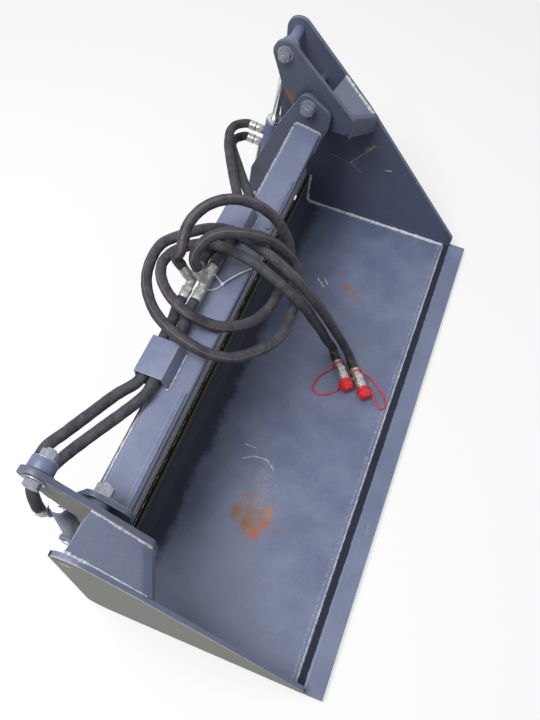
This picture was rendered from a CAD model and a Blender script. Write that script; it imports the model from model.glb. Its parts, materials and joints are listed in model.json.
"""Looks of a four in one loader bucket, dressed over its CAD frame.

Lengths in the tables are millimetres in the bucket's own side view: x along the width, then the depth behind
the cutting edge's front, then the height above the ground. point() turns them to metres in the shared frame.
"""

from __future__ import annotations

import json
import logging
import math
import random
from collections.abc import Callable, Mapping, Sequence
from dataclasses import dataclass, field
from enum import Enum

import bmesh
import bpy
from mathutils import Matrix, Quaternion, Vector

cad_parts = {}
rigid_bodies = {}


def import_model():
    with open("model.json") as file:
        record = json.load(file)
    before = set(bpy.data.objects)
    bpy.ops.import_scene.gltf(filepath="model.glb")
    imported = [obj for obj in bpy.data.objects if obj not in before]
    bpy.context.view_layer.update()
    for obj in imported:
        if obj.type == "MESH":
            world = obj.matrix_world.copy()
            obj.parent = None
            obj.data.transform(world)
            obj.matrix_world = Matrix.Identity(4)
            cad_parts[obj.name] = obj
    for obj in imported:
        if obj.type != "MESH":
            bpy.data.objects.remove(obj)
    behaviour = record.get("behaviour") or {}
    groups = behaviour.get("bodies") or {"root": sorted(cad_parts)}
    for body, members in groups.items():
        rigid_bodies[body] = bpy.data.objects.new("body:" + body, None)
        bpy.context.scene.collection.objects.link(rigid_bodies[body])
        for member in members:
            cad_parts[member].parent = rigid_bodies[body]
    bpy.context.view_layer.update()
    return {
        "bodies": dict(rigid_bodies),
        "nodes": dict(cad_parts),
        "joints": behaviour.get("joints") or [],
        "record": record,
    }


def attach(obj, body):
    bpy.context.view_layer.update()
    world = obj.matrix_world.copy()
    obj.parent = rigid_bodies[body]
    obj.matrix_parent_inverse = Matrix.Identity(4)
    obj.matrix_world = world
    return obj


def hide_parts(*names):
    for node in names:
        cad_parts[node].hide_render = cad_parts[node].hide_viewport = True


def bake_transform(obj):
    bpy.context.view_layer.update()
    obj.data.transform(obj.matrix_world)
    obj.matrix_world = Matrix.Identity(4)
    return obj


LOG = logging.getLogger("bucket")
MM = 0.001
# Half the bucket's depth, a hose sleeve's diameter, and radii of the lanyards and of their rings, in mm
HALF_DEPTH = 377.0
SLEEVE_D = 27.0
LANYARD_R = 2.4
RING_R = 2.0
# Parts of a cord's route between two of its points, and distances between its rings in metres
CORD_STEPS = 8
HOSE_PITCH = 0.006
CUFF_PITCH = 0.002
THIN_PITCH = 0.003
UP = Vector((0, 0, 1))
Triple = tuple[float, float, float]
Socket = bpy.types.NodeSocket
Tree = bpy.types.NodeTree
Material = bpy.types.Material
Piece = bpy.types.Object
Mesh = bmesh.types.BMesh


class Body(str, Enum):
    """CAD bodies that the pieces ride on."""

    FRAME = "rear_frame"
    JAW = "jaw"
    BARREL_LEFT = "cylinder_left"
    BARREL_RIGHT = "cylinder_right"


class Slot(str, Enum):
    """Material slots of the record."""

    PAINT = "paint"
    ZINC = "zinc"
    CHROME = "chrome"
    HOSE = "hose"
    RED = "red_plastic"
    WHITE = "white_plastic"


class Kind(str, Enum):
    """Shader nodes that the finishes are made of."""

    BUMP = "ShaderNodeBump"
    CLAMP = "ShaderNodeClamp"
    EMISSION = "ShaderNodeEmission"
    GEOMETRY = "ShaderNodeNewGeometry"
    MAPPING = "ShaderNodeMapping"
    MATH = "ShaderNodeMath"
    MIX = "ShaderNodeMix"
    MIX_SHADER = "ShaderNodeMixShader"
    NOISE = "ShaderNodeTexNoise"
    PATH = "ShaderNodeLightPath"
    PLACE = "ShaderNodeTexCoord"
    RANGE = "ShaderNodeMapRange"
    SPLIT = "ShaderNodeSeparateXYZ"
    VECTOR = "ShaderNodeVectorMath"


def point(x: float, back: float, z: float) -> Vector:
    """Turn a place in the bucket's side view to metres in the shared frame.

    Args:
        x: place along the width, in mm.
        back: depth behind the cutting edge's front, in mm.
        z: height above the ground, in mm.

    Returns:
        The place in metres.
    """
    return Vector((x, back - HALF_DEPTH, z)) * MM


def srgb(hex_colour: str) -> tuple[float, float, float, float]:
    """Turn an sRGB hex colour to linear light.

    Args:
        hex_colour: six hex digits after a hash sign.

    Returns:
        Linear red, green, blue and an alpha of 1.
    """
    parts = [int(hex_colour[i : i + 2], 16) / 255 for i in (1, 3, 5)]
    linear = [c / 12.92 if c <= 0.04045 else ((c + 0.055) / 1.055) ** 2.4 for c in parts]
    return (linear[0], linear[1], linear[2], 1.0)


def per_metre(size_mm: float) -> float:
    """Scale of a pattern whose features are this many mm across, on coordinates in metres."""
    return 1000.0 / size_mm


# Nodes


def feed(tree: Tree, node: bpy.types.Node, inputs: Mapping | Sequence) -> None:
    """Set or link a node's inputs.

    Args:
        tree: the node tree.
        node: the node.
        inputs: a value or another node's socket for each input, in order, or by its name or number.
    """
    for key, value in inputs.items() if isinstance(inputs, Mapping) else enumerate(inputs):
        if isinstance(value, Socket):
            tree.links.new(value, node.inputs[key])
        else:
            node.inputs[key].default_value = value


def add_node(
    tree: Tree, kind: Kind, inputs: Mapping | Sequence = (), out: str | int = 0, **settings: object
) -> Socket:
    """Add one node with its settings, values and links.

    Args:
        tree: the node tree that it goes in.
        kind: the node's type.
        inputs: as for feed(). A RANGE takes its value, the two ends that it comes from and the two that it
            goes to. A MIX takes its share as 0, and its sides as 2 and 3 for numbers, 6 and 7 for colours.
        out: name or number of the output that is wanted, 2 for a MIX of colours.
        settings: the node's own properties.

    Returns:
        That output.
    """
    node = tree.nodes.new(kind.value)
    for name, value in settings.items():
        setattr(node, name, value)
    feed(tree, node, inputs)
    return node.outputs[out]


def start_material(name: str) -> tuple[Material, Tree, bpy.types.Node]:
    """Start a material.

    Args:
        name: the material's name.

    Returns:
        The material, its node tree and its shader.
    """
    made = bpy.data.materials.new(name)
    made.use_nodes = True
    return made, made.node_tree, made.node_tree.nodes["Principled BSDF"]


# Finishes


@dataclass(frozen=True)
class Mark:
    """A worn or soiled place on a painted sheet, fading out over its reach.

    Attributes:
        centre: its middle, in mm.
        reach: how far it goes each way, in mm.
        colour: sRGB hex colour of what shows there.
        grain: size of the specks that it breaks into, in mm.
        cover: share of the surface that it takes at its middle.
    """

    centre: Triple
    reach: Triple
    colour: str
    grain: float
    cover: float

    def share(self, tree: Tree, where: Socket) -> Socket:
        """Share of the mark's colour: full at its middle, breaking into flakes towards its reach.

        Args:
            tree: the node tree.
            where: the place on the sheet.

        Returns:
            The share.
        """
        shifted = add_node(tree, Kind.VECTOR, (where, point(*self.centre)), operation="SUBTRACT")
        scale = [1.0 / (r * MM) for r in self.reach]
        shares = add_node(tree, Kind.VECTOR, (shifted, scale), operation="MULTIPLY")
        away = add_node(tree, Kind.VECTOR, (shares,), "Value", operation="LENGTH")
        near = add_node(tree, Kind.RANGE, (away, 0.0, 1.0, self.cover, FADED))
        flakes = add_node(tree, Kind.NOISE, Grain(self.grain, 8.0, 0.75).on(where))
        both = add_node(tree, Kind.MATH, (near, flakes), operation="ADD")
        return add_node(tree, Kind.RANGE, (both, FLAKE_FROM, FLAKE_FULL, 0.0, FLAKE_MOST))


@dataclass(frozen=True)
class Scuff:
    """A thin scratch through the paint, from one point to another, in mm."""

    start: Triple
    end: Triple
    width: float
    colour: str

    def share(self, tree: Tree, where: Socket, specks: Socket) -> Socket:
        """Share of the scratch's colour: within its ragged width of the line between its ends.

        Args:
            tree: the node tree.
            where: the place on the sheet.
            specks: the noise that makes its edges ragged.

        Returns:
            The share.
        """
        start, width = point(*self.start), self.width * MM
        run = point(*self.end) - start
        shifted = add_node(tree, Kind.VECTOR, (where, start), operation="SUBTRACT")
        unit = run / run.length_squared
        along = add_node(tree, Kind.VECTOR, (shifted, unit), "Value", operation="DOT_PRODUCT")
        held = add_node(tree, Kind.CLAMP, {"Value": along})
        foot = add_node(tree, Kind.VECTOR, {0: run, "Scale": held}, operation="SCALE")
        away = add_node(tree, Kind.VECTOR, (shifted, foot), "Value", operation="DISTANCE")
        edge = (specks, width * SCUFF_WIDE, -width * SCUFF_LESS)
        ragged = add_node(tree, Kind.MATH, edge, operation="MULTIPLY_ADD")
        inside = add_node(tree, Kind.MATH, (away, ragged), operation="LESS_THAN")
        return add_node(tree, Kind.MATH, (inside, SCUFF_SHARE), operation="MULTIPLY")


@dataclass(frozen=True)
class Grain:
    """A noise pattern: the size of its features in mm, their detail and how rough they are."""

    size: float
    detail: float
    rough: float = 0.5

    def on(self, where: Socket) -> dict[str, Socket | float]:
        """Inputs of its noise node at a place."""
        scale = per_metre(self.size)
        return {"Vector": where, "Scale": scale, "Detail": self.detail, "Roughness": self.rough}


# Clouds of dust a hand across, which the rain has left on the coat
CLOUDS = Grain(150, 5.0, 0.62)
# Grains of dirt, real ones under 1 mm and drawn 5 mm across so that they show
SPECKS = Grain(5, 3.0)
# Rubbed streaks along the sheet, a few mm wide and a hand long
STREAKS = Grain(14, 6.0, 0.7)
# The sheet's own waves, a hand apart, and the spray's orange peel, drawn 3 mm across
WAVES, PEEL = Grain(110, 1.0), Grain(3, 2.0)
# Tool marks of the lathe and the rack, drawn 2 mm apart
TOOLING = Grain(2, 2.0)
# Where a sleeve has rubbed, and its folds
CHAFED, CREASES = Grain(28, 6.0, 0.7), Grain(16, 4.0)
# Flow marks of a moulded skin
FLOW = Grain(9, 4.0)
# Stones of 1 to 4 mm in packed earth, drawn 5 mm apart
STONES = Grain(5, 6.0, 0.7)
# What a mark comes down to at its reach, where its flakes start and are full, and the most that they cover
FADED, FLAKE_FROM, FLAKE_FULL, FLAKE_MOST = -0.3, 0.62, 0.88, 0.9
# How far specks widen a scratch and how much is taken off it, as shares of its width, and how much of the
# paint it takes
SCUFF_WIDE, SCUFF_LESS, SCUFF_SHARE = 2.4, 0.7, 0.8

RUST = "#96683f"
ORANGE = "#b56c34"
STRAW = "#b3a184"
PALE = "#c3c4c6"
SOIL = "#3b3836"
GRIT = "#7f7a70"
DRY = "#bdbcb6"
WET = "#1b1e27"


@dataclass(frozen=True)
class Stuff:
    """What a piece's surface is made of.

    Attributes:
        name: the material's name.
    """

    name: str

    def looks(self, tree: Tree, where: Socket) -> dict[str, object]:
        """Add the nodes that the shader is fed by.

        Args:
            tree: the material's node tree.
            where: the place on the piece.

        Returns:
            The shader's inputs.
        """
        raise NotImplementedError

    def material(self) -> Material:
        """Build the material.

        Returns:
            The material.
        """
        made, tree, shader = start_material(self.name)
        feed(tree, shader, self.looks(tree, add_node(tree, Kind.PLACE, out="Object")))
        return made


@dataclass(frozen=True)
class PaintedSteel(Stuff):
    """Hot-rolled steel sheet sprayed with one satin coat of blue-grey machine enamel.

    The coat follows the sheet's slight waves, carries road dust on what faces up, and is broken by rust and
    scratches.

    Attributes:
        colour: sRGB hex colour of the clean coat.
        dust: sRGB hex colour of the dust on it.
        dusty: share of dust on what faces up.
        roughness: of the clean coat.
        marks: worn or soiled places.
        scuffs: scratches.
    """

    name: str = "blue_grey_enamel"
    colour: str = "#5f6986"
    dust: str = "#858fa8"
    dusty: float = 0.4
    roughness: float = 0.42
    marks: tuple[Mark, ...] = ()
    scuffs: tuple[Scuff, ...] = ()

    def looks(self, tree: Tree, where: Socket) -> dict[str, object]:
        """Lay dust, grime, marks and scratches over the coat.

        Args:
            tree: the material's node tree.
            where: the place on the piece.

        Returns:
            The shader's inputs.
        """
        clouds = add_node(tree, Kind.NOISE, CLOUDS.on(where))
        upward = add_node(tree, Kind.SPLIT, (add_node(tree, Kind.GEOMETRY, out="Normal"),), "Z")
        lying = add_node(tree, Kind.RANGE, (upward, 0.0, 1.0, 0.25, 1.0))
        cloudy = add_node(tree, Kind.RANGE, (clouds, 0.38, 0.66, 0.0, self.dusty))
        dusted = add_node(tree, Kind.MATH, (lying, cloudy), operation="MULTIPLY")
        specks = add_node(tree, Kind.NOISE, SPECKS.on(where))
        grime = add_node(tree, Kind.RANGE, (specks, 0.3, 0.75, 0.92, 1.07))
        drawn = add_node(tree, Kind.MAPPING, {"Vector": where, "Scale": (0.12, 1.0, 1.0)})
        streaks = add_node(tree, Kind.NOISE, STREAKS.on(drawn))
        rubbed = add_node(tree, Kind.RANGE, (streaks, 0.66, 0.76, 0.0, 0.28))
        worn = [mark.share(tree, where) for mark in self.marks]
        cut = [scuff.share(tree, where, specks) for scuff in self.scuffs]
        bare: Socket | float = 0.0
        for shown in worn:
            bare = add_node(tree, Kind.MATH, (bare, shown), operation="MAXIMUM")
        colour = srgb(self.colour)
        for share, over, blend in (
            (dusted, srgb(self.dust), "MIX"),
            (1.0, grime, "MULTIPLY"),
            (rubbed, srgb(PALE), "MIX"),
            *((shown, srgb(spot.colour), "MIX") for shown, spot in zip(worn + cut, self.marks + self.scuffs)),
        ):
            both = {0: share, 6: colour, 7: over}
            colour = add_node(tree, Kind.MIX, both, 2, data_type="RGBA", blend_type=blend)
        matt = add_node(tree, Kind.RANGE, (clouds, 0.3, 0.7, self.roughness - 0.08, self.roughness + 0.16))
        waves = add_node(tree, Kind.NOISE, WAVES.on(where))
        bent = add_node(tree, Kind.BUMP, {"Height": waves, "Strength": 0.35, "Distance": 0.004})
        peel = add_node(tree, Kind.NOISE, PEEL.on(where))
        relief = {"Height": peel, "Normal": bent, "Strength": 0.12, "Distance": 0.0006}
        grained = add_node(tree, Kind.BUMP, relief)
        # Rust, soil and bare steel have lost the coat's sheen
        return {
            "Base Color": colour,
            "Roughness": add_node(tree, Kind.MIX, {0: bare, 2: matt, 3: 0.92}),
            "Specular IOR Level": add_node(tree, Kind.RANGE, (bare, 0.0, 1.0, 0.5, 0.15)),
            "IOR": 1.5,
            "Normal": grained,
        }


@dataclass(frozen=True)
class SteelDress(Stuff):
    """Bare or plated steel: turned, rolled or plated, told apart by colour, roughness and grain.

    Attributes:
        colour: sRGB hex colour of the metal.
        stain: sRGB hex colour of the dirt and white bloom on it.
        stained: most that the stain covers.
        roughness: of the clean metal.
        grain: size of the stain's patches, in mm.
    """

    colour: str
    stain: str
    stained: float
    roughness: float
    grain: float

    def looks(self, tree: Tree, where: Socket) -> dict[str, object]:
        """Stain the metal in patches.

        Args:
            tree: the material's node tree.
            where: the place on the piece.

        Returns:
            The shader's inputs.
        """
        patches = add_node(tree, Kind.NOISE, Grain(self.grain, 6.0, 0.65).on(where))
        covered = add_node(tree, Kind.RANGE, (patches, 0.42, 0.66, 0.0, self.stained))
        tooling = add_node(tree, Kind.NOISE, TOOLING.on(where))
        dullest = self.roughness + 0.22
        return {
            "Base Color": add_node(
                tree, Kind.MIX, {0: covered, 6: srgb(self.colour), 7: srgb(self.stain)}, 2, data_type="RGBA"
            ),
            "Metallic": add_node(tree, Kind.RANGE, (covered, 0.0, 1.0, 1.0, 0.25)),
            "Roughness": add_node(tree, Kind.RANGE, (patches, 0.3, 0.7, self.roughness, dullest)),
            "Normal": add_node(tree, Kind.BUMP, {"Height": tooling, "Strength": 0.15, "Distance": 0.0004}),
        }


@dataclass(frozen=True)
class WovenSleeve(Stuff):
    """Woven nylon sleeve over a rubber hose: matt, charcoal, with pale stitched seams.

    Attributes:
        yarn: sRGB hex colour of the weave.
        worn: sRGB hex colour where it has rubbed and dust sits in it.
        seam: sRGB hex colour of the seams' thread.
        thread: pitch of the weave as drawn, in mm; the real one is about 1.5 mm and would not show.
        seam_share: half width of a seam as a share of the sleeve's girth.
        seams: where the seams run, as shares of the way round.
    """

    name: str = "woven_nylon_sleeve"
    yarn: str = "#2f2f36"
    worn: str = "#5a5a63"
    seam: str = "#8c7676"
    thread: float = 4.0
    seam_share: float = 0.010
    seams: tuple[float, ...] = (0.5, 0.455, 0.0)

    def looks(self, tree: Tree, where: Socket) -> dict[str, object]:
        """Weave the sleeve on the tube's own girth and length.

        Args:
            tree: the material's node tree.
            where: the place on the piece.

        Returns:
            The shader's inputs.
        """
        # The unrolled tube is one unit round and metres long, and the weave crosses it both ways
        across = add_node(tree, Kind.SPLIT, (where.node.outputs["UV"],), "X")
        threads = round(math.pi * SLEEVE_D / self.thread)
        ridges = []
        for count in (threads, -threads):
            run = add_node(tree, Kind.MATH, (across, float(count)), operation="MULTIPLY")
            turns = (across.node.outputs["Y"], per_metre(self.thread), run)
            phase = add_node(tree, Kind.MATH, turns, operation="MULTIPLY_ADD")
            wave = add_node(tree, Kind.MATH, (phase, math.tau), operation="MULTIPLY")
            ridges.append(add_node(tree, Kind.MATH, (wave,), operation="SINE"))
        height = add_node(tree, Kind.MATH, ridges, operation="ADD")
        rubbed = add_node(tree, Kind.NOISE, CHAFED.on(where))
        faded = add_node(tree, Kind.RANGE, (rubbed, 0.4, 0.72, 0.0, 0.8))
        both = {0: faded, 6: srgb(self.yarn), 7: srgb(self.worn)}
        colour = add_node(tree, Kind.MIX, both, 2, data_type="RGBA")
        for place in self.seams:
            off = add_node(tree, Kind.MATH, (across, place), operation="SUBTRACT")
            wrapped = add_node(tree, Kind.MATH, (off, 0.5, -0.5), operation="WRAP")
            away = add_node(tree, Kind.MATH, (wrapped,), operation="ABSOLUTE")
            on_seam = add_node(tree, Kind.RANGE, (away, self.seam_share * 0.5, self.seam_share, 0.75, 0.0))
            both = {0: on_seam, 6: colour, 7: srgb(self.seam)}
            colour = add_node(tree, Kind.MIX, both, 2, data_type="RGBA")
        creases = add_node(tree, Kind.NOISE, CREASES.on(where))
        folded = add_node(tree, Kind.BUMP, {"Height": creases, "Strength": 0.7, "Distance": 0.003})
        relief = {"Height": height, "Normal": folded, "Strength": 0.4, "Distance": 0.0006}
        woven = add_node(tree, Kind.BUMP, relief)
        return {"Base Color": colour, "Roughness": 0.72, "IOR": 1.45, "Normal": woven}


@dataclass(frozen=True)
class Mottled(Stuff):
    """A stuff of one colour with patches of another, in slight relief.

    Attributes:
        colour: sRGB hex colour of most of it.
        patch: sRGB hex colour of its patches.
        roughness: of its skin.
        pattern: the patches.
        shown: where in the noise the patches start and are full, and how far they cover.
        relief: strength of the bumps, and their height in metres.
        ior: index of refraction.
    """

    colour: str
    patch: str
    roughness: float
    pattern: Grain
    shown: Triple
    relief: tuple[float, float]
    ior: float

    def looks(self, tree: Tree, where: Socket) -> dict[str, object]:
        """Mottle the one colour with the other.

        Args:
            tree: the material's node tree.
            where: the place on the piece.

        Returns:
            The shader's inputs.
        """
        patches = add_node(tree, Kind.NOISE, self.pattern.on(where))
        first, full, most = self.shown
        share = add_node(tree, Kind.RANGE, (patches, first, full, 0.0, most))
        strength, high = self.relief
        return {
            "Base Color": add_node(
                tree, Kind.MIX, {0: share, 6: srgb(self.colour), 7: srgb(self.patch)}, 2, data_type="RGBA"
            ),
            "Roughness": self.roughness,
            "IOR": self.ior,
            "Normal": add_node(tree, Kind.BUMP, {"Height": patches, "Strength": strength, "Distance": high}),
        }


@dataclass(frozen=True)
class MouldedPlastic(Mottled):
    """Moulded polyethylene, nylon or vinyl: even colour with faint flow marks and a soft sheen."""

    pattern: Grain = FLOW
    shown: Triple = (0.45, 0.75, 0.6)
    relief: tuple[float, float] = (0.15, 0.0005)
    ior: float = 1.5


@dataclass(frozen=True)
class PackedSoil(Mottled):
    """Dry earth and grit caked in a corner: matt, brown-grey, with pale stones in it."""

    name: str = "packed_soil"
    colour: str = SOIL
    patch: str = GRIT
    roughness: float = 0.95
    pattern: Grain = STONES
    shown: Triple = (0.55, 0.75, 0.5)
    relief: tuple[float, float] = (0.8, 0.002)
    ior: float = 1.4


# Places and reaches that several marks share, in mm
HEEL = (0, 581, 150)
HEEL_REACH = (9000, 120, 135)
FOOT = (0, 600, 200)
FOOT_REACH = (9000, 90, 260)
EDGE_LINE = (0, 594, 158)
MIDDLE = (0, 377, 200)
EVERYWHERE = (9000, 9000, 9000)


class Finish(Enum):
    """Every finish on the bucket."""

    # Satin blue-grey, a little cloudy with dust on what faces up
    ENAMEL = PaintedSteel()
    # A smoother and paler coat, less dusty than the plates
    TUBE = PaintedSteel("blue_grey_enamel_clean", "#6c748f", "#99a0b4", 0.25, 0.3)
    # A coat worn by what slides over it: rust, scratches, and soil towards the heel
    FLOOR = PaintedSteel(
        "blue_grey_enamel_floor",
        dusty=0.5,
        marks=(
            Mark((-300, 335, 16), (190, 110, 30), "#95909f", 40, 0.34),
            Mark((-385, 330, 16), (170, 150, 30), "#94765f", 9, 0.34),
            Mark((-395, 376, 16), (92, 66, 30), RUST, 4, 0.36),
            Mark((-418, 338, 16), (84, 60, 30), RUST, 3, 0.40),
            Mark((-430, 308, 16), (76, 58, 30), ORANGE, 3, 0.42),
            Mark((-398, 288, 16), (66, 48, 30), ORANGE, 3, 0.36),
            Mark((-366, 290, 16), (66, 44, 30), "#ba7c47", 3, 0.36),
            Mark((-345, 362, 16), (66, 66, 30), "#a07048", 3, 0.28),
            Mark((-408, 246, 16), (40, 34, 30), RUST, 3, 0.30),
            Mark((420, 300, 16), (130, 110, 30), RUST, 6, 0.24),
            Mark((436, 330, 16), (50, 44, 30), RUST, 4, 0.42),
            Mark(HEEL, HEEL_REACH, SOIL, 5, 1.3),
            Mark(HEEL, HEEL_REACH, GRIT, 3, 0.36),
            Mark((0, 581, 146), (9000, 24, 12), "#18181c", 4, 2.0),
            Mark((0, 577, 24), (9000, 110, 90), "#454a59", 60, 0.9),
            Mark((0, 86, 16), (9000, 20, 30), PALE, 6, 0.17),
        ),
        scuffs=(
            Scuff((-203, 424, 16), (-203, 393, 16), 2.4, PALE),
            Scuff((-246, 415, 16), (-228, 389, 16), 2.2, PALE),
            Scuff((-228, 389, 16), (-225, 350, 16), 2.8, PALE),
            Scuff((-225, 350, 16), (-248, 319, 16), 2.4, PALE),
            Scuff((433, 426, 16), (408, 398, 16), 5.0, PALE),
            Scuff((440, 402, 16), (420, 388, 16), 4.0, PALE),
        ),
    )
    # A darker coat with straw-coloured scratches
    FAR = PaintedSteel(
        "blue_grey_enamel_far",
        "#565d74",
        dusty=0.2,
        marks=(
            Mark((738, 222, 250), (20, 14, 14), STRAW, 4, 0.4),
            Mark((738, 445, 249), (20, 12, 14), STRAW, 4, 0.35),
        ),
        scuffs=(
            Scuff((738, 455, 246), (738, 392, 330), 3.5, STRAW),
            Scuff((738, 410, 318), (738, 384, 344), 6.0, STRAW),
            Scuff((738, 455, 246), (738, 520, 262), 2.0, STRAW),
            Scuff((738, 452, 250), (738, 408, 222), 2.5, STRAW),
            Scuff((738, 436, 246), (738, 418, 300), 2.0, STRAW),
            Scuff((738, 334, 262), (738, 314, 268), 5.0, PALE),
        ),
    )
    # A dark coat, rusty and rubbed near the pivots
    ARM = PaintedSteel(
        "blue_grey_enamel_arm",
        "#50576c",
        dusty=0.25,
        marks=(
            Mark((629, 650, 520), (40, 46, 54), "#94704f", 5, 0.62),
            Mark((629, 640, 500), (40, 40, 30), STRAW, 4, 0.40),
            Mark((-652, 640, 520), (30, 20, 26), RUST, 6, 0.25),
            Mark((-656, 590, 540), (8, 260, 260), DRY, 24, 1.3),
        ),
    )
    # A pale worn front with a dark wet line behind it
    EDGE = PaintedSteel(
        "blue_grey_enamel_edge",
        "#66708b",
        marks=(
            Mark((0, 62, 18), (2200, 14.5, 60), WET, 14, 1.6),
            Mark((0, 6, 16), (2200, 9, 30), PALE, 8, 0.16),
        ),
    )
    # A dark matt coat under soil and grit
    GRITTY = PaintedSteel(
        "soiled_enamel",
        "#4c4e5a",
        "#6b665d",
        0.8,
        0.7,
        (Mark(FOOT, FOOT_REACH, SOIL, 5, 0.9), Mark(FOOT, FOOT_REACH, GRIT, 3, 0.3)),
    )
    # Nearly bare steel, rubbed pale where the two halves meet
    SHEAR = PaintedSteel(
        "worn_shear_edge",
        "#b3b6c3",
        "#d6d8df",
        0.8,
        0.4,
        (Mark(EDGE_LINE, (9000, 30, 22), PALE, 30, 1.1), Mark(EDGE_LINE, (9000, 40, 40), "#4a4d5a", 5, 0.3)),
    )
    # Dusty beads, a little lighter than the plates
    BEAD = PaintedSteel(
        "painted_weld", "#747c93", "#b4b9c6", 0.85, 0.5, (Mark(MIDDLE, EVERYWHERE, "#dcdee3", 6, 0.24),)
    )
    # Beads whose paint has come off in pale flecks
    BRIGHT_BEAD = PaintedSteel(
        "chipped_weld", "#70778d", "#b3b8c5", 0.9, 0.5, (Mark(MIDDLE, EVERYWHERE, "#e2e3e6", 9, 0.42),)
    )
    # A light line where paint is thin on the plates' edges
    CHIPPED = PaintedSteel(
        "chipped_edge_enamel",
        "#7b849c",
        "#b0b6c2",
        0.7,
        marks=(Mark(MIDDLE, (3000, 3000, 3000), "#a9a7a6", 12, 0.12),),
    )
    # A coat under a dry grey film on its outer face
    NEAR = PaintedSteel(
        "blue_grey_enamel_near",
        marks=(
            Mark((-754, 480, 300), (9, 1100, 1000), DRY, 45, 1.6),
            Mark((-754, 590, 560), (9, 40, 40), SOIL, 3, 0.6),
        ),
    )
    # Bright grey, dulled in spots by white bloom and dirt
    ZINC = SteelDress("zinc_plated_steel", "#c2c3c2", "#8b8a88", 0.65, 0.34, 7)
    # Grey with patches of the machine's own paint on it
    DARK_ZINC = SteelDress("painted_over_zinc", "#a4a8b0", "#6f7588", 0.7, 0.38, 9)
    # Near a mirror, under a thin film of oil
    CHROME = SteelDress("hard_chrome", "#d6d8da", "#8d8b88", 0.25, 0.12, 18)
    # Charcoal weave, greyer where it has rubbed
    SLEEVE = WovenSleeve()
    # Matt earth in the corner over the heel
    EARTH = PackedSoil()
    # Soft black, a little shiny where it is stretched round a hose
    TAPE = MouldedPlastic("black_vinyl_tape", "#232225", "#3b393c", 0.45)
    # Bright and even, the strongest colour on the bucket
    RED = MouldedPlastic("red_polyethylene", "#d8202c", "#e0454c", 0.38)
    # Milky white with a soft sheen
    WHITE = MouldedPlastic("natural_nylon", "#e9e9e6", "#d2d2cc", 0.4)


Palette = dict[Finish, Material]


# Shapes


def smooth_route(places: Sequence[Triple], steps: int) -> list[Vector]:
    """Draw a smooth line through places on a route.

    Args:
        places: the route's points in mm.
        steps: parts between each two of them.

    Returns:
        Points in metres in the shared frame.
    """
    knots = [point(*p) for p in places]
    line: list[Vector] = []
    for i in range(len(knots) - 1):
        a, b = knots[max(i - 1, 0)], knots[i]
        c, d = knots[i + 1], knots[min(i + 2, len(knots) - 1)]
        for k in range(steps):
            t = k / steps
            bend, twist = 2 * a - 5 * b + 4 * c - d, 3 * b - a - 3 * c + d
            line.append(0.5 * (2 * b + (c - a) * t + bend * t * t + twist * t**3))
    line.append(knots[-1])
    return line


def length_of(line: Sequence[Vector]) -> float:
    """Length of a line of points, in metres."""
    return sum((line[i + 1] - line[i]).length for i in range(len(line) - 1))


def evenly(line: Sequence[Vector], pitch: float) -> list[Vector]:
    """Walk a line and put a point every so often.

    Args:
        line: the line's points in metres.
        pitch: distance between the new points, in metres.

    Returns:
        The new points, both ends among them.
    """
    total = length_of(line)
    count = max(2, round(total / pitch))
    marks = [total * i / count for i in range(count + 1)]
    walked, done, i = [line[0].copy()], 0.0, 0
    for want in marks[1:-1]:
        while done + (line[i + 1] - line[i]).length < want:
            done += (line[i + 1] - line[i]).length
            i += 1
        step = line[i + 1] - line[i]
        walked.append(line[i] + step * ((want - done) / step.length))
    walked.append(line[-1].copy())
    return walked


def put_in(name: str, data: bpy.types.ID) -> Piece:
    """Put an object in the scene.

    Args:
        name: its name.
        data: the mesh, lamp or camera that it holds.

    Returns:
        The object.
    """
    made = bpy.data.objects.new(name, data)
    bpy.context.scene.collection.objects.link(made)
    return made


def new_piece(name: str, mesh: Mesh, material: Material, smooth: bool = True) -> Piece:
    """Turn a built mesh to an object in the scene.

    Args:
        name: the piece's name.
        mesh: what was built; it is freed.
        material: its finish.
        smooth: whether its faces are shaded smooth.

    Returns:
        The object.
    """
    data = bpy.data.meshes.new(name)
    for face in mesh.faces:
        face.smooth = smooth
    mesh.to_mesh(data)
    mesh.free()
    data.materials.append(material)
    return put_in(name, data)


def settle(piece: Piece, body: Body, stands_for: str = "") -> None:
    """Say what a piece rides on, and which CAD node it stands for.

    Args:
        piece: the piece.
        body: what it rides on.
        stands_for: the CAD node, if any.
    """
    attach(piece, body.value)
    if stands_for:
        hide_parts(stands_for)
    LOG.info("built %s", piece.name)


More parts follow.
